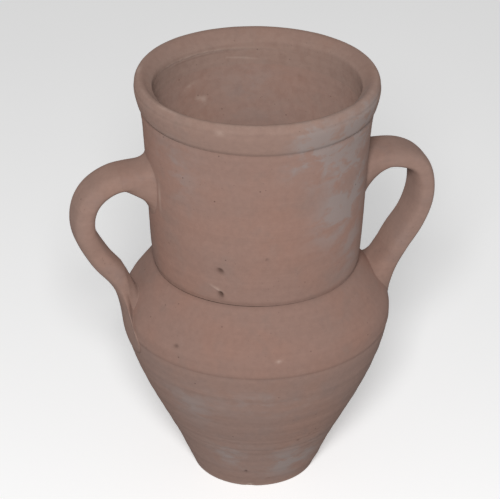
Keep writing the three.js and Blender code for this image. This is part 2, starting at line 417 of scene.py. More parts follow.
def outside_marks(turn, height):
    """Painted shade in the pits and seams, pale smears, grey bloom and rubbed edges over the outside,
    each from 0 to 1.
    """
    dark = clouds(turn, height, PIT_SHADES)
    for level, strength, width in SEAM_SHADES:
        dark = dark + strength * bell(height, level, width)
    pale = clouds(turn, height, SMEARS)
    bloom = clouds(turn, height, BLOOM_CLOUDS)
    rubbed = bell(height, 1.2, 1.6) + 0.5 * bell(height, TOP - 5.0, 2.5)
    return dark, pale, bloom, rubbed


def inside_marks(turn, height):
    # Painted shade in a line just under the clay ledge inside, around 112 degrees.
    dark = 0.3 * bell(height, 334.4, 0.7) * bell(apart(turn, 112.0), 0.0, 22.0)
    kept = bell(apart(turn, 112.0), 0.0, 24.0)
    pale = 0.75 * kept * bell(height, 336.6 + 0.035 * apart(turn, 110.0), 1.0)
    scratch = ramp(apart(turn, 86.0), -10.0, -8.0) * (1.0 - ramp(apart(turn, 86.0), 8.0, 10.0))
    pale = pale + 0.5 * scratch * bell(height, 327.8 + 0.13 * apart(turn, 86.0), 0.6)
    pale = pale + 0.7 * cloud(turn, height, 112.0, 298.0, 3.4, 1.6, 0.3)
    pale = pale + 0.5 * cloud(turn, height, 109.0, 295.0, 1.6, 2.6)
    pale = pale + 0.5 * cloud(turn, height, 119.0, 311.5, 5.0, 1.0, -0.2)
    # Painted light: the inside grows paler from 230 mm up towards the mouth.
    pale = pale + 0.3 * ramp(height, 230.0, 300.0)
    bloom = 0.25 * cloud(turn, height, 80.0, 300.0, 22.0, 16.0)
    return dark, pale, bloom, 0.0 * height


# ---- thrown walls ----

def turned_surface(rows, relief, outward):
    """Rows of an outline turned about the axis, with the relief standing off them."""
    slope = np.gradient(rows, axis=0)
    slope = slope / np.linalg.norm(slope, axis=1)[:, None]
    normal = outward * np.stack([slope[:, 1], -slope[:, 0]], axis=1)
    turn = TURN[None, :]
    height = rows[:, 1][:, None]
    stand = relief(turn, height) + 0.0 * turn
    radius = rows[:, 0][:, None] + stand * normal[:, 0][:, None]
    level = height + stand * normal[:, 1][:, None]
    return np.stack([radius * np.cos(turn), radius * np.sin(turn), level], axis=2)


def no_relief(turn, height):
    return 0.0 * turn * height


def marks_of(rows, marks):
    turn = TURN[None, :]
    height = rows[:, 1][:, None]
    layers = [layer + 0.0 * turn for layer in marks(turn, height)]
    return np.clip(np.stack(layers, axis=2), 0.0, 1.0)


def bridge(first, last, count=2):
    """Rows between two rings of points, without the rings themselves."""
    share = np.linspace(0.0, 1.0, count + 2)[1:-1][:, None, None]
    return (1.0 - share) * first[None] + share * last[None]


def skin_mesh(name, blocks, marks, closed=True):
    """One skin from blocks of rings. One that isn't closed on itself gets a fan at each end."""
    rings = np.concatenate(blocks)
    paint = np.concatenate(marks)
    count, wide = rings.shape[:2]
    points = rings.reshape(-1, 3)
    colours = paint.reshape(-1, 4)
    place = np.arange(count * wide).reshape(count, wide)
    upper = np.roll(place, -1, axis=0) if closed else place[1:]
    lower = place if closed else place[:-1]
    ahead = np.roll(lower, -1, axis=1)
    above = np.roll(upper, -1, axis=1)
    quads = np.stack([lower, ahead, above, upper], axis=2).reshape(-1, 4).tolist()
    if not closed:
        points = np.concatenate([points, rings[[0, -1]].mean(axis=1)])
        colours = np.concatenate([colours, paint[[0, -1]].mean(axis=1)])
        first, last = count * wide, count * wide + 1
        for k in range(wide):
            after = (k + 1) % wide
            quads.append((int(place[0, after]), int(place[0, k]), first))
            quads.append((int(place[-1, k]), int(place[-1, after]), last))
    return mesh_piece(name, points, quads, colours)


def mesh_piece(name, points, faces, colours):
    mesh = bpy.data.meshes.new(name)
    mesh.from_pydata((points * MM).tolist(), [], faces)
    mesh.polygons.foreach_set("use_smooth", [True] * len(mesh.polygons))
    mesh.set_sharp_from_angle(angle=radians(SHARP_EDGE))
    layer = mesh.attributes.new("clay_marks", "FLOAT_COLOR", "POINT")
    layer.data.foreach_set("color", colours.astype(np.float32).ravel())
    mesh.update()
    piece = bpy.data.objects.new(name, mesh)
    bpy.context.scene.collection.objects.link(piece)
    return piece


def inside_skin(low, high):
    """The inside between two heights, from the top down: its points and its paint."""
    heights = np.linspace(low, high, 400)
    wall = np.stack([inner_radius(heights), heights], axis=1)
    inner = even_rows(wall, low, high, inside_spacing)
    points = turned_surface(inner, inside_relief, -1.0)[::-1]
    return points, marks_of(inner, inside_marks)[::-1]


def wall_ring(name, low, high):
    """A thrown wall between two seams, both sloping down towards the inside."""
    low, high = low + SEAM_GAP, high - SEAM_GAP
    rows = even_rows(OUTSIDE, low, high, outside_spacing)
    outside = turned_surface(rows, outside_relief, 1.0)
    inside, in_paint = inside_skin(low - SEAM_BEVEL, high - SEAM_BEVEL)
    over = bridge(outside[-1], inside[0])
    under = bridge(inside[-1], outside[0])
    out_paint = marks_of(rows, outside_marks)
    paint = [out_paint, bridge(out_paint[-1], in_paint[0]), in_paint]
    paint.append(bridge(in_paint[-1], out_paint[0]))
    return skin_mesh(name, [outside, over, inside, under], paint)


def ring_at(radius, height, turn=TURN):
    """Points round the axis at that radius and height."""
    return np.stack([radius * np.cos(turn), radius * np.sin(turn), height + 0.0 * turn], axis=1)


def flat_rings(radii, level, relief):
    """Level rings of the base or the floor, at those radii."""
    return np.array([ring_at(radius, level + relief(TURN, radius)) for radius in radii])


def cut_from_wheel(turn, radius):
    """The underside, cut from the wheel with a cord: hollow by a hair, flat at its rim."""
    hollow = 0.25 * (1.0 - ramp(radius, 30.0, 44.0)) + 0.0 * turn
    sweep = np.sin(0.45 * (radius * np.sin(turn) + 0.004 * (radius * np.cos(turn)) ** 2))
    return hollow + 0.1 * (1.0 + sweep) * (1.0 - ramp(radius, 36.0, 46.0))


def floor_spiral(turn, radius):
    """The finger spiral on the floor inside."""
    fade = ramp(radius, 2.0, 8.0) * (1.0 - ramp(radius, 30.0, 40.0))
    return 0.6 * fade * np.sin(2 * pi * radius / 9.0 - turn)


def lower_body():
    edge = BASE_EDGE[0] - BASE_ROUND
    base = flat_rings(np.linspace(3.0, edge, 18), 0.0, cut_from_wheel)
    bend = np.linspace(0.0, pi / 2, 5)[1:-1]
    turn_up = np.stack([edge + BASE_ROUND * np.sin(bend), BASE_ROUND * (1 - np.cos(bend))], axis=1)
    rows = even_rows(OUTSIDE, BASE_ROUND, BODY_SEAM - SEAM_GAP, outside_spacing)
    rows = np.concatenate([turn_up, rows])
    outside = turned_surface(rows, outside_relief, 1.0)
    outside[:, :, 2] = np.maximum(outside[:, :, 2], 0.02)
    corner_top = FLOOR + FLOOR_CORNER
    inside, in_paint = inside_skin(corner_top, BODY_SEAM - SEAM_GAP - SEAM_BEVEL)
    start = np.array([inner_radius(corner_top), corner_top])
    end = np.array([start[0] - FLOOR_CORNER, FLOOR])
    pull = np.array([float(inner_radius(FLOOR + 2.0)) - 2.0, FLOOR])
    corner = curved(start, mix(start, pull, 0.67), mix(end, pull, 0.67), end, 12)[1:]
    round_in = turned_surface(corner, no_relief, -1.0)
    floor = flat_rings(np.linspace(end[0] - 2.0, 2.0, 16), FLOOR, floor_spiral)
    out_paint = marks_of(rows, outside_marks)
    blank = np.zeros((1, len(TURN), 4))
    paint = [
        np.repeat(blank, len(base), axis=0),
        out_paint,
        bridge(out_paint[-1], in_paint[0]),
        in_paint,
        np.repeat(blank, len(round_in) + len(floor), axis=0),
    ]
    over = bridge(outside[-1], inside[0])
    return skin_mesh("lower_body_clay", [base, outside, over, inside, round_in, floor], paint, False)


def lip_rows(low):
    """The lip's outline from its foot outside, over the rim and down to its foot inside."""
    top = joined(straight(LIP_RIM, LIP_CREST, 8), straight(LIP_CREST, MOUTH_POINT, 16))
    heights = np.linspace(MOUTH, low - SEAM_BEVEL, 40)
    wall = np.stack([inner_radius(heights), heights], axis=1)
    over = softened(joined(lip_outside(), top), 0.8)
    line = softened(joined(over, softened(wall, 2.0)), 1.1)
    line = line[int(np.argmax(line[:, 1] >= low)):]
    line[0, 1] = low
    total = lengths_along(line)[-1]
    return at_lengths(line, np.linspace(0.0, total, int(total / LIP_ROW)))


def lip_marks(rows, share, past_rim):
    """The lip's paint: pale chips, rubbed wear with a painted highlight along the rim, and painted
    shade on the crest behind it. share is how far inside each row is, past_rim how far beyond the
    rim.
    """
    share = share[:, :, None]
    paint = (1.0 - share) * marks_of(rows, outside_marks) + share * marks_of(rows, inside_marks)
    near_rim = bell(past_rim, -1.0, 1.2)[:, None]
    behind_rim = bell(past_rim, 3.2, 1.3)[:, None]
    chip = bell(across(TURN, 163.0), 0.0, 4.0) + bell(across(TURN, 210.0), 0.0, 7.0)
    shaded = bell(apart(TURN, 258.0), 0.0, 42.0)
    paint[:, :, 1] += 0.8 * chip * near_rim
    # Paler edge all round the rim: rubbed wear and a painted highlight.
    paint[:, :, 3] += 0.8 * near_rim
    # Painted shade on the flat crest just behind the rim, strongest on the side that faces the
    # camera.
    paint[:, :, 0] += 0.3 * behind_rim * shaded
    return np.clip(paint, 0.0, 1.0)


def lip_band():
    """The band of clay thrown onto the neck: a swollen rim whose top slopes into the mouth."""
    rows = lip_rows(GROOVE + SEAM_GAP)
    past_rim = lengths_along(rows) - lengths_along(rows)[int(np.argmax(rows[:, 1]))]
    share = ramp(past_rim, 6.0, 15.0)[:, None]

    def both_reliefs(turn, height):
        return (1.0 - share) * outside_relief(turn, height) + share * inside_relief(turn, height)

    skin = turned_surface(rows, both_reliefs, 1.0)
    waver = 0.35 * np.sin(TURN + 0.5) + 0.2 * np.sin(3 * TURN) - 0.25
    skin[:, :, 2] += waver * ramp(rows[:, 1], 330.0, 348.0)[:, None]
    paint = lip_marks(rows, share, past_rim)
    under = bridge(skin[-1], skin[0], 3)
    return skin_mesh("lip_band_clay", [skin, under], [paint, bridge(paint[-1], paint[0], 3)])


def seam_coil(name, seam, seed):
    """A coil pressed flat over a seam inside, with the dents of the fingers that pressed it."""
    half = 9.0
    proud = 4.0
    middle = seam - SEAM_BEVEL
    bow = np.linspace(-1.0, 1.0, 17)
    presses = 0.35 * np.cos(24 * TURN + seed) * (0.6 + 0.4 * np.cos(5 * TURN))
    rings = []
    for share in bow:
        height = middle + half * share + 1.2 * np.sin(3 * TURN + seed) * (1 - share * share)
        swell = proud * (1.0 - share * share) ** 0.8 * (0.85 + 0.25 * presses)
        radius = inner_radius(height) + 0.25 - swell
        rings.append(ring_at(radius, height))
    back = []
    for share in bow[::-1]:
        height = middle + half * share
        back.append(ring_at(inner_radius(height) + 1.6, height))
    front = np.array(rings)[::-1]
    behind = np.array(back)[::-1]
    paint = np.zeros((len(front) + len(behind), len(TURN), 4))
    return skin_mesh(name, [front, behind], [paint])


# ---- handles ----

AROUND = 64


def smooth_through(knots, count=400):
    """A smooth line through the knots, evenly spaced along its length."""
    ends = [2 * knots[0] - knots[1], *knots, 2 * knots[-1] - knots[-2]]
    points = []
    for before, here, after, beyond in zip(ends, ends[1:], ends[2:], ends[3:]):
        reach = [0.0]
        for a, b in ((before, here), (here, after), (after, beyond)):
            reach.append(reach[-1] + np.linalg.norm(b - a) ** 0.5)
        for t in np.linspace(reach[1], reach[2], 40, endpoint=False):
            points.append(centripetal(before, here, after, beyond, reach, t))
    points.append(knots[-1])
    line = np.array(points)
    return at_lengths(line, np.linspace(0.0, lengths_along(line)[-1], count))


def centripetal(a, b, c, d, reach, t):
    """One point of a centripetal curve through four knots."""
    t0, t1, t2, t3 = reach
    ab = (t1 - t) / (t1 - t0) * a + (t - t0) / (t1 - t0) * b
    bc = (t2 - t) / (t2 - t1) * b + (t - t1) / (t2 - t1) * c
    cd = (t3 - t) / (t3 - t2) * c + (t - t2) / (t3 - t2) * d
    abc = (t2 - t) / (t2 - t0) * ab + (t - t0) / (t2 - t0) * bc
    bcd = (t3 - t) / (t3 - t1) * bc + (t - t1) / (t3 - t1) * cd
    return (t2 - t) / (t2 - t1) * abc + (t - t1) / (t2 - t1) * bcd


def squared(angle, power):
    """Cosine and sine of a circle pushed out towards a rounded rectangle."""
    c = np.cos(angle)
    s = np.sin(angle)
    return np.sign(c) * np.abs(c) ** (2 / power), np.sign(s) * np.abs(s) ** (2 / power)


RING = np.linspace(0.0, 2 * pi, AROUND, endpoint=False)


UP = np.array([0.0, 0.0, 1.0])


class Strap:
    """One pulled handle: its middle line from root to foot, and what varies along it."""

    def __init__(self, side, heading, knots, thick, wide, twist):
        self.side = side
        self.heading = heading
        self.root = knots[0]
        self.out = np.array([cos(heading), sin(heading), 0.0])
        self.line = softened(smooth_through(np.array(knots)), 5.0)
        self.along = lengths_along(self.line)
        self.share = self.along / self.along[-1]
        ahead = np.gradient(self.line, axis=0)
        self.ahead = ahead / np.linalg.norm(ahead, axis=1)[:, None]
        stations = [0.0, 0.5, 1.0]
        self.thick = np.interp(self.share, stations, thick)
        self.wide = np.interp(self.share, stations, wide)
        self.twist = radians(twist) * ramp(self.share, 0.12, 0.5)

    def where(self, share):
        return int(np.searchsorted(self.share, share))

    def ring(self, index):
        """The strap's skin at one place: AROUND points, in the jar's frame."""
        side = np.array([-self.out[1], self.out[0], 0.0])
        radius, height = self.line[index]
        ahead = self.ahead[index]
        face = ahead[0] * UP - ahead[1] * self.out
        face = face / np.linalg.norm(face)
        lean = self.twist[index]
        outer = face * cos(lean) + side * sin(lean)
        edge = side * cos(lean) - face * sin(lean)
        c, s = squared(RING, 2.9)
        place = self.along[index]
        pulled = 0.22 * np.cos(3 * RING + 0.7 + 0.01 * place) + 0.12 * np.cos(7 * RING + 0.03 * place)
        dents = 0.3 * np.cos(0.11 * place + 2 * RING + 1.0) + 0.2 * np.cos(0.23 * place - RING)
        grown = 1.0 + (pulled + dents * (0.6 + 0.4 * np.cos(0.05 * place))) / 16.0
        x = self.thick[index] * c * grown
        y = self.wide[index] * s * grown
        return radius * self.out + height * UP + x[:, None] * outer + y[:, None] * edge

    def travel(self, index):
        """The way the strap runs at one place, from root to foot."""
        return self.ahead[index][0] * self.out + self.ahead[index][1] * UP


LEFT = Strap(
    "left", pi,
    [(88, 271.6), (112.6, 272.6), (129.3, 263.7), (138.5, 249.4), (139.2, 228.4),
     (126, 202.7), (107.5, 178.3), (98.5, 147)],
    thick=(8.3, 9.0, 9.4), wide=(18.0, 17.0, 15.5), twist=4.0,
)
RIGHT = Strap(
    "right", 0.0,
    [(86, 270), (106.6, 273.2), (130.2, 265.2), (136.2, 245.3), (131.3, 219.8),
     (119.7, 200), (107, 177.5), (102.3, 149.5)],
    thick=(8.2, 8.0, 7.6), wide=(20.0, 19.0, 17.5), twist=5.0,
)


def on_wall(heading, across_mm, height, lift):
    """Points on the jar's outside, that far round from a handle's heading and off the wall."""
    radius = outer_radius(height)
    turn = heading + across_mm / radius
    stand = outside_relief(turn, height)
    grown = radius + stand + lift
    return ring_at(grown, height, turn)


def face_outward(piece):
    """Turns every face out, by the sign of the volume that the skin closes in."""
    mesh = piece.data
    volume = 0.0
    for face in mesh.polygons:
        corners = [mesh.vertices[v].co for v in face.vertices]
        for a, b in zip(corners[1:], corners[2:]):
            volume += corners[0].dot(a.cross(b))
    if volume < 0.0:
        mesh.flip_normals()
    return piece


def strap_piece(strap, start, end):
    places = np.linspace(strap.where(start), strap.where(end), 110).astype(int)
    rings = np.array([strap.ring(k) for k in places])
    rings[0] += SEAM_GAP * strap.travel(places[0])
    rings[-1] -= SEAM_GAP * strap.travel(places[-1])
    paint = np.zeros((*rings.shape[:2], 4))
    edge = np.abs(np.sin(2 * RING)) ** 6
    paint[:, :, 3] = 0.35 * edge[None, :]
    return face_outward(skin_mesh(f"handle_{strap.side}_clay", [rings], [paint], False))


def smeared_skirt(strap, name, index, way, foot, inner, lift, reach, seed):
    """Clay smeared from one end of a strap onto the wall.

    index is the place on the strap and way the sense along it, 1 or -1. foot is the outline on the
    wall, inner the point of the wall that each column leaves towards it from, and reach how far the
    column runs on along the strap first.
    """
    heading = strap.heading
    start = strap.ring(index)
    first = start + way * strap.travel(index)[None, :] * reach[:, None]
    land = on_wall(heading, foot["across"], foot["height"], -0.12)
    near = on_wall(heading, inner["across"], inner["height"], lift)
    shares = np.linspace(0.0, 1.0, 34)
    shares = shares * 0.6 + 0.4 * shares**0.8
    rings = []
    for t in shares:
        s = 1.0 - t
        rings.append(s**3 * start + 3 * s * s * t * first + 3 * s * t * t * near + t**3 * land)
    skin = np.array(rings)
    normal = np.cross(np.gradient(skin, axis=0), np.roll(skin, -1, axis=1) - np.roll(skin, 1, axis=1))
    normal = normal / (np.linalg.norm(normal, axis=2)[:, :, None] + 1e-9)
    outward = np.sign(np.mean(normal * (skin - skin.mean(axis=(0, 1)))))
    dice = np.random.default_rng(seed)
    rough = 0.0
    for _ in range(12):
        waves = int(dice.integers(1, 6))
        drift = dice.uniform(2, 9) * shares[:, None] + dice.uniform(0, 6)
        rough = rough + np.cos(waves * RING[None, :] + drift)
    envelope = np.sin(pi * np.clip(shares, 0, 1))[:, None] ** 1.5
    skin = skin + outward * normal * (0.09 * rough * envelope)[:, :, None]
    buried = on_wall(heading, foot["across"] * 0.97, foot["height"], -1.2)
    rings = np.concatenate([skin, buried[None]])
    paint = np.zeros((*rings.shape[:2], 4))
    # Painted shade along the last rows, where the smeared clay meets the wall.
    paint[-8:, :, 0] = 0.45 * np.array([0.0, 0.0, 0.1, 0.3, 0.6, 1.0, 1.0, 1.0])[:, None] ** 2
    return face_outward(skin_mesh(f"{name}_{strap.side}_clay", [rings], [paint], False))


def upper_luting(strap, start, up, down, spread, web):
    """The collar at a handle's root: thin over the top, a deep web under it."""
    index = strap.where(start)
    c, s = squared(RING, 2.4)
    radius, height = strap.root
    thick = strap.thick[index]
    wide = strap.wide[index]
    under = np.clip(-c, 0.0, 1.0)
    top = np.clip(c, 0.0, 1.0)
    foot = {
        "across": (wide + spread) * s,
        "height": height + (thick + up) * top - (thick + down) * under,
    }
    core = {
        "across": (wide + 0.25 * spread) * s,
        "height": height + (thick + 0.3 * up) * top - (thick + (1 - web) * down) * under,
    }
    far = np.linalg.norm(strap.ring(index).mean(axis=0)[:2]) - radius
    reach = far * (0.55 - 0.35 * under)
    lift = 0.3 + 0.0 * RING
    return smeared_skirt(strap, "upper_luting", index, -1, foot, core, lift, reach, seed=31)


def lower_luting(strap, end, root, tail, half, rise, point, wings, steep):
    """The foot of a handle, run on over the shoulder and smeared down the body to a tongue.

    point is how much of the tongue's width is left at its tip, and wings how far it is dragged
    round the body on each side. A steep tongue keeps its height until close to its edge.
    """
    index = strap.where(end)
    c, s = squared(RING, 2.3)
    down = np.clip(c, 0.0, 1.0)
    above = np.clip(-c, 0.0, 1.0)
    narrow = 1.0 - (1.0 - point) * down**1.5
    wing = np.where(s > 0.0, wings[0], wings[1])
    foot = {
        "across": (half + 2.0) * s * narrow + wing * s * down**0.8,
        "height": root - (root - tail) * down + rise * above,
    }
    core = {
        "across": (0.55 + 0.4 * steep) * foot["across"],
        "height": root - (0.4 + 0.4 * steep) * (root - tail) * down + 0.8 * rise * above,
    }
    lift = 0.4 + 4.4 * down**0.6
    reach = 9.0 + 17.0 * down - 6.5 * above
    return smeared_skirt(strap, "lower_luting", index, 1, foot, core, lift, reach, seed=37)


# ---- node helpers ----

def add_node(tree, kind, **settings):
    made = tree.nodes.new(kind)
    for name, value in settings.items():
        setattr(made, name, value)
    return made


def feed(tree, socket, source):
    """Links a socket to an output, or sets its value."""
    if isinstance(source, bpy.types.NodeSocket):
        tree.links.new(source, socket)
    else:
        socket.default_value = source


def maths(tree, operation, first, second=0.0, clamp=False):
    made = add_node(tree, "ShaderNodeMath", operation=operation, use_clamp=clamp)
    feed(tree, made.inputs[0], first)
    feed(tree, made.inputs[1], second)
    return made.outputs[0]


def times(tree, first, second, clamp=False):
    return maths(tree, "MULTIPLY", first, second, clamp)


def scaled(tree, vector, factor):
    made = add_node(tree, "ShaderNodeVectorMath", operation="SCALE")
    feed(tree, made.inputs[0], vector)
    feed(tree, made.inputs["Scale"], factor)
    return made.outputs[0]


def spread(tree, value, low, high, new_low=0.0, new_high=1.0, smooth=True):
    """A value's range from low to high stretched onto a new one."""
    made = add_node(tree, "ShaderNodeMapRange")
    if smooth:
        made.interpolation_type = "SMOOTHSTEP"
    feed(tree, made.inputs["Value"], value)
    feed(tree, made.inputs["From Min"], low)
    feed(tree, made.inputs["From Max"], high)
    feed(tree, made.inputs["To Min"], new_low)
    feed(tree, made.inputs["To Max"], new_high)
    return made.outputs["Result"]


def tint(tree, share, under, over):
    made = add_node(tree, "ShaderNodeMix", data_type="RGBA")
    feed(tree, made.inputs["Factor"], share)
    feed(tree, made.inputs[6], under)
    feed(tree, made.inputs[7], over)
    return made.outputs[2]


def noise(tree, place, scale, detail=4.0, rough=0.55, warp=0.0):
    made = add_node(tree, "ShaderNodeTexNoise")
    feed(tree, made.inputs["Vector"], place)
    feed(tree, made.inputs["Scale"], scale)
    made.inputs["Detail"].default_value = detail
    made.inputs["Roughness"].default_value = rough
    made.inputs["Distortion"].default_value = warp
    return made.outputs["Fac"]


def stretched(tree, place, x, y, z):
    made = add_node(tree, "ShaderNodeMapping")
    feed(tree, made.inputs["Vector"], place)
    made.inputs["Scale"].default_value = (x, y, z)
    return made.outputs["Vector"]


def new_group(name, inputs, outputs):
    """An empty node group with named sockets: (name, kind, starting value)."""
    group = bpy.data.node_groups.new(name, "ShaderNodeTree")
    for label, kind, value in inputs:
        socket = group.interface.new_socket(label, in_out="INPUT", socket_type="NodeSocket" + kind)
        if value is not None:
            socket.default_value = value
    for label, kind in outputs:
        group.interface.new_socket(label, in_out="OUTPUT", socket_type="NodeSocket" + kind)
    entry = group.nodes.new("NodeGroupInput")
    exit_node = group.nodes.new("NodeGroupOutput")
    return group, entry.outputs, exit_node.inputs


# ---- effects that every clay shares ----

def make_mottling():
    """Uneven firing: warm and grey clouds over the clay's own colour."""
    group, given, gives = new_group(
        "clay_mottling",
        [
            ("Place", "Vector", None),
            ("Clay", "Color", (0.3, 0.2, 0.16, 1.0)),
            ("Warm", "Color", (0.34, 0.2, 0.15, 1.0)),
            ("Grey", "Color", (0.26, 0.2, 0.17, 1.0)),
            ("Warmth", "Float", 0.6),
            ("Greyness", "Float", 0.4),
        ],
        [("Colour", "Color")],
    )
    broad = noise(group, given["Place"], 14.0, 3.0, 0.5, 0.3)
    patchy = noise(group, given["Place"], 48.0, 5.0, 0.6, 0.2)
    fine = noise(group, given["Place"], 230.0, 4.0, 0.6)
    warm = spread(group, broad, 0.42, 0.66)
    grey = spread(group, patchy, 0.5, 0.72)
    colour = tint(group, times(group, warm, given["Warmth"]), given["Clay"], given["Warm"])
    colour = tint(group, times(group, grey, given["Greyness"]), colour, given["Grey"])
    shade = spread(group, fine, 0.25, 0.75, 0.94, 1.06, False)
    feed(group, gives["Colour"], scaled(group, colour, shade))
    return group


def make_throwing_lines():
    """Fine lines that the fingers and slurry drag round the wall. Light and dark, high and low."""
    group, given, gives = new_group(
        "throwing_lines",
        [("Place", "Vector", None)],
        [("Line", "Float"), ("Height", "Float")],
    )
    place = given["Place"]
    wide = noise(group, stretched(group, place, 5.0, 5.0, 150.0), 1.0, 3.0, 0.5)
    thin = noise(group, stretched(group, place, 9.0, 9.0, 700.0), 1.0, 3.0, 0.6)
    broken = noise(group, stretched(group, place, 26.0, 26.0, 110.0), 1.0, 3.0, 0.6)
    both = maths(group, "ADD", times(group, wide, 0.6), times(group, thin, 0.4))
    kept = spread(group, broken, 0.3, 0.6, 0.35, 1.0)
    held = times(group, maths(group, "SUBTRACT", both, 0.5), kept)
    feed(group, gives["Line"], maths(group, "ADD", held, 0.5))
    feed(group, gives["Height"], held)
    return group


def make_grain():
    """The open grain of dry clay: fine grit, pinholes and scattered dark specks."""
    group, given, gives = new_group(
        "clay_grain",
        [("Place", "Vector", None)],
        [("Height", "Float"), ("Pinhole", "Float"), ("Speck", "Float")],
    )
    place = given["Place"]
    grit = noise(group, place, 1500.0, 3.0, 0.7)
    coarse = noise(group, place, 420.0, 4.0, 0.65)
    cells = add_node(group, "ShaderNodeTexVoronoi")
    feed(group, cells.inputs["Vector"], place)
    cells.inputs["Scale"].default_value = 170.0
    pick = noise(group, place, 60.0, 2.0, 0.5)
    hole = spread(group, cells.outputs["Distance"], 0.05, 0.16, 1.0, 0.0)
    hole = times(group, hole, spread(group, pick, 0.56, 0.66))
    dots = add_node(group, "ShaderNodeTexVoronoi")
    feed(group, dots.inputs["Vector"], place)
    dots.inputs["Scale"].default_value = 330.0
    speck = spread(group, dots.outputs["Distance"], 0.08, 0.2, 1.0, 0.0)
    speck = times(group, speck, spread(group, noise(group, place, 90.0, 2.0), 0.55, 0.7))
    body = maths(group, "ADD", times(group, grit, 0.5), times(group, coarse, 0.5))
    feed(group, gives["Height"], maths(group, "SUBTRACT", body, times(group, hole, 0.8)))
    feed(group, gives["Pinhole"], hole)
    feed(group, gives["Speck"], speck)
    return group


def make_marks():
    """Smears, bloom, rubbed edges and painted shade in hollows, painted on the mesh and broken up by
    noise. The smear layer also carries painted light on the inside, the rubbed layer a painted
    highlight along the rim.
    """
    group, given, gives = new_group(
        "worked_marks",
        [("Place", "Vector", None)],
        [("Hollow shade", "Float"), ("Smear and light", "Float"), ("Bloom", "Float"), ("Rubbed and highlight", "Float")],
    )
    painted = add_node(group, "ShaderNodeAttribute", attribute_name="clay_marks")
    parts = add_node(group, "ShaderNodeSeparateColor")
    feed(group, parts.inputs[0], painted.outputs["Color"])
    ragged = noise(group, given["Place"], 130.0, 5.0, 0.65)
    soft = noise(group, stretched(group, given["Place"], 1.0, 1.0, 1.7), 42.0, 5.0, 0.62, 0.4)
    feed(group, gives["Hollow shade"], parts.outputs["Red"])
    smear = times(group, parts.outputs["Green"], spread(group, ragged, 0.3, 0.6, 0.4, 1.0))
    feed(group, gives["Smear and light"], smear)
    cloud_mask = times(group, parts.outputs["Blue"], 1.7)
    cloud_mask = times(group, cloud_mask, spread(group, soft, 0.4, 0.62, 0.12, 1.0), True)
    feed(group, gives["Bloom"], cloud_mask)
    rubbed = times(group, painted.outputs["Alpha"], spread(group, ragged, 0.35, 0.65, 0.2, 1.0))
    feed(group, gives["Rubbed and highlight"], rubbed)
    return group


EFFECTS = {}


def effect(tree, name, **values):
    """One of the shared effects, placed in a material with its own values."""
    made = add_node(tree, "ShaderNodeGroup", node_tree=EFFECTS[name])
    for label, value in values.items():
        feed(tree, made.inputs[label], value)
    return made.outputs


# ---- the five clays ----

def plain(red, green, blue):
    """A colour given as it looks, 0 to 255, as the light it stands for."""
    parts = []
    for part in (red, green, blue):
        share = part / 255.0
        parts.append(share / 12.92 if share <= 0.04045 else ((share + 0.055) / 1.055) ** 2.4)
    return (*parts, 1.0)


def fired_clay(name, clay, warm, grey, lines, line_depth, grain_depth=0.2):
    """Bare fired clay. lines is how strongly the throwing lines colour it."""
    material = bpy.data.materials.new(name)
    material.use_nodes = True
    tree = material.node_tree
    shader = tree.nodes["Principled BSDF"]
    place = add_node(tree, "ShaderNodeTexCoord").outputs["Object"]
    mottled = effect(
        tree, "clay_mottling", Place=place, Clay=plain(*clay), Warm=plain(*warm), Grey=plain(*grey)
    )
    drawn = effect(tree, "throwing_lines", Place=place)
    grain = effect(tree, "clay_grain", Place=place)
    marks = effect(tree, "worked_marks", Place=place)
    streak = spread(tree, drawn["Line"], 0.36, 0.64, 1.0 - lines, 1.0 + lines, False)
    colour = scaled(tree, mottled["Colour"], streak)
    # The hollow colour is painted shade in pinholes, pits and seams. The smear layer also lays
    # painted light on the inside, the rubbed layer a painted highlight along the rim.
    layers = (
        (marks["Bloom"], 0.7, BLOOM),
        (marks["Smear and light"], 0.75, SMEAR_AND_LIGHT),
        (marks["Rubbed and highlight"], 0.4, RUBBED_AND_HIGHLIGHT),
        (grain["Speck"], 0.45, SPECK),
        (grain["Pinhole"], 0.6, HOLLOW_SHADE),
        (marks["Hollow shade"], 0.8, HOLLOW_SHADE),
    )
    for mask, strength, over in layers:
        colour = tint(tree, times(tree, mask, strength), colour, over)
    feed(tree, shader.inputs["Base Color"], colour)
    worn = times(tree, marks["Rubbed and highlight"], 0.15)
    rough = spread(tree, grain["Height"], 0.3, 0.7, 0.96, 0.84, False)
    feed(tree, shader.inputs["Roughness"], maths(tree, "SUBTRACT", rough, worn))
    shader.inputs["Specular IOR Level"].default_value = 0.22
    shader.inputs["Diffuse Roughness"].default_value = 0.3
    relief = maths(
        tree, "ADD",
        times(tree, grain["Height"], grain_depth),
        times(tree, drawn["Height"], line_depth),
    )
    bump = add_node(tree, "ShaderNodeBump")
    bump.inputs["Strength"].default_value = 0.8
    bump.inputs["Distance"].default_value = 0.0008
    feed(tree, bump.inputs["Height"], relief)
    feed(tree, shader.inputs["Normal"], bump.outputs[0])
    return material


# The last colour is painted shade. The smear colour also serves as painted light on the inside, the
# rubbed one as a painted highlight along the rim.
BLOOM = plain(155, 145, 142)
SMEAR_AND_LIGHT = plain(190, 166, 154)
RUBBED_AND_HIGHLIGHT = plain(176, 150, 138)
SPECK = plain(105, 84, 75)
HOLLOW_SHADE = plain(78, 58, 50)


def turned_clay():
    return fired_clay(
        "turned_clay", (150, 124, 114), (155, 123, 110), (141, 121, 114),
        lines=0.045, line_depth=0.17,
    )


def thrown_clay():
    return fired_clay(
        "thrown_clay", (153, 124, 113), (158, 122, 108), (144, 122, 113),
        lines=0.03, line_depth=0.12,
    )


def lip_clay():
    return fired_clay(
        "lip_clay", (152, 125, 114), (156, 126, 113), (145, 124, 115),
        lines=0.03, line_depth=0.14,
    )


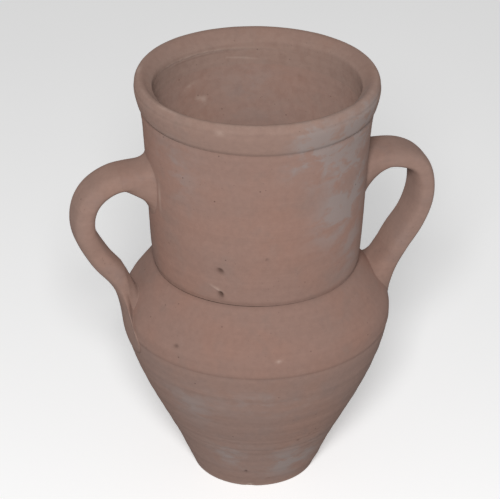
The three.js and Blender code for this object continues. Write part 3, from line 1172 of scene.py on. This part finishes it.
def handle_clay():
    return fired_clay(
        "handle_clay", (156, 129, 118), (159, 128, 115), (148, 127, 120),
        lines=0.05, line_depth=0.12, grain_depth=0.24,
    )


def luting_clay():
    return fired_clay(
        "luting_clay", (154, 127, 116), (158, 126, 113), (146, 125, 118),
        lines=0.05, line_depth=0.12, grain_depth=0.28,
    )


# ---- floor, light and camera ----

def studio_floor():
    mesh = bpy.data.meshes.new("studio_floor")
    half = 9.0
    corners = [(-half, -half, 0), (half, -half, 0), (half, half, 0), (-half, half, 0)]
    mesh.from_pydata(corners, [], [(0, 1, 2, 3)])
    floor = bpy.data.objects.new("studio_floor", mesh)
    bpy.context.scene.collection.objects.link(floor)
    material = bpy.data.materials.new("pale_floor")
    material.use_nodes = True
    tree = material.node_tree
    shader = tree.nodes["Principled BSDF"]
    place = add_node(tree, "ShaderNodeTexCoord").outputs["Object"]
    shade = spread(tree, noise(tree, place, 1.3, 2.0), 0.3, 0.7, 0.0, 1.0)
    colour = tint(tree, shade, (0.93, 0.93, 0.93, 1.0), (0.95, 0.95, 0.95, 1.0))
    feed(tree, shader.inputs["Base Color"], colour)
    shader.inputs["Roughness"].default_value = 0.9
    shader.inputs["Specular IOR Level"].default_value = 0.1
    shader.inputs["Emission Color"].default_value = (1.0, 1.0, 1.0, 1.0)
    shader.inputs["Emission Strength"].default_value = 0.38
    mesh.materials.append(material)
    floor.visible_diffuse = False
    floor.visible_glossy = False
    floor.visible_shadow = False


def direction_to(turn, rise):
    """The way out from the jar's middle at that turn and rise."""
    return Vector((sin(turn) * cos(rise), -cos(turn) * cos(rise), sin(rise)))


def soft_light(name, turn, rise, distance, size, power):
    """A square soft box aimed at the jar's middle, from that direction."""
    lamp = bpy.data.lights.new(name, "AREA")
    lamp.shape = "SQUARE"
    lamp.size = size
    lamp.energy = power
    holder = bpy.data.objects.new(name, lamp)
    bpy.context.scene.collection.objects.link(holder)
    toward = direction_to(turn, rise)
    holder.location = AIM + toward * distance
    holder.rotation_euler = toward.to_track_quat("Z", "Y").to_euler()


BOUNCE = 0.45             # light thrown back up by the pale floor
SKY = 0.14                # light from the studio above


def studio_light():
    world = bpy.data.worlds.new("studio")
    world.use_nodes = True
    tree = world.node_tree
    soft = tree.nodes["Background"]
    soft.inputs["Color"].default_value = (1.0, 1.0, 1.0, 1.0)
    direction = add_node(tree, "ShaderNodeSeparateXYZ")
    feed(tree, direction.inputs[0], add_node(tree, "ShaderNodeTexCoord").outputs["Generated"])
    feed(tree, soft.inputs["Strength"], spread(tree, direction.outputs["Z"], -0.2, 0.2, BOUNCE, SKY))
    seen = add_node(tree, "ShaderNodeBackground")
    seen.inputs["Color"].default_value = (1.0, 1.0, 1.0, 1.0)
    seen.inputs["Strength"].default_value = 0.75
    both = add_node(tree, "ShaderNodeMixShader")
    feed(tree, both.inputs[0], add_node(tree, "ShaderNodeLightPath").outputs["Is Camera Ray"])
    feed(tree, both.inputs[1], soft.outputs[0])
    feed(tree, both.inputs[2], seen.outputs[0])
    feed(tree, tree.nodes["World Output"].inputs["Surface"], both.outputs[0])
    bpy.context.scene.world = world
    soft_light(
        "front_light", turn=radians(-15.0), rise=radians(35.5), distance=2.2, size=0.5, power=37.5
    )
    bpy.context.scene.view_settings.view_transform = "Standard"
    bpy.context.scene.view_settings.look = "None"


AIM = Vector((0.0, 0.0, 0.2166))
VIEW_TURN = radians(-13.0)
VIEW_RISE = 0.495235      # this and the three small turns below are in radians
VIEW_DISTANCE = 1.92
LENS = 172.64
PAN = -0.00238467
TILT = -0.00973497
ROLL = 0.00874252


def turned_pair(first, second, angle):
    """Two axes turned in their own plane."""
    return (first * cos(angle) - second * sin(angle), first * sin(angle) + second * cos(angle))


def set_camera():
    back = direction_to(VIEW_TURN, VIEW_RISE)
    ahead = -back
    right = ahead.cross(Vector((0.0, 0.0, 1.0))).normalized()
    up = right.cross(ahead)
    right, ahead = turned_pair(right, ahead, PAN)
    up, ahead = turned_pair(up, ahead, TILT)
    up, right = turned_pair(up, right, ROLL)
    data = bpy.data.cameras.new("camera")
    data.lens = LENS
    data.sensor_width = 36.0
    camera = bpy.data.objects.new("camera", data)
    bpy.context.scene.collection.objects.link(camera)
    turn = Matrix((right, up, -ahead)).transposed()
    camera.matrix_world = Matrix.Translation(AIM + back * VIEW_DISTANCE) @ turn.to_4x4()
    bpy.context.scene.camera = camera


# ---- putting the jar together ----

def finish_piece(piece, node, material):
    piece.data.materials.append(material)
    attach(piece, "root")
    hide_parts(node)


def build_handle(strap, clay, luting, upper, lower):
    side = strap.side
    pulled = strap_piece(strap, upper["start"], lower["end"])
    finish_piece(pulled, f"handle_{side}", clay)
    finish_piece(upper_luting(strap, **upper), f"upper_luting_{side}", luting)
    finish_piece(lower_luting(strap, **lower), f"lower_luting_{side}", luting)


def build_jar():
    for build in (make_mottling, make_throwing_lines, make_grain, make_marks):
        group = build()
        EFFECTS[group.name] = group
    turned = turned_clay()
    thrown = thrown_clay()
    lip = lip_clay()
    pulled = handle_clay()
    luted = luting_clay()
    finish_piece(lower_body(), "lower_body", turned)
    shoulder = wall_ring("upper_body_clay", BODY_SEAM, CREASE)
    finish_piece(shoulder, "upper_body", thrown)
    finish_piece(wall_ring("neck_clay", CREASE, GROOVE), "neck", thrown)
    finish_piece(lip_band(), "lip_band", lip)
    belly_coil = seam_coil("belly_seam_coil_clay", BODY_SEAM, 0.3)
    finish_piece(belly_coil, "belly_seam_coil", luted)
    neck_coil = seam_coil("neck_seam_coil_clay", CREASE, 1.9)
    finish_piece(neck_coil, "neck_seam_coil", luted)
    build_handle(
        LEFT, pulled, luted,
        {"start": 0.13, "up": 10.0, "down": 24.0, "spread": 6.0, "web": 0.5},
        {"end": 0.73, "root": 160.0, "tail": 121.0, "half": 14.0, "rise": 13.0, "point": 0.9,
         "wings": (38.0, 14.0), "steep": 0.9},
    )
    build_handle(
        RIGHT, pulled, luted,
        {"start": 0.13, "up": 5.0, "down": 26.0, "spread": 5.0, "web": 0.5},
        {"end": 0.77, "root": 169.0, "tail": 139.0, "half": 22.0, "rise": 8.0, "point": 0.4,
         "wings": (0.0, 0.0), "steep": 0.6},
    )


studio_floor()
studio_light()
set_camera()
build_jar()

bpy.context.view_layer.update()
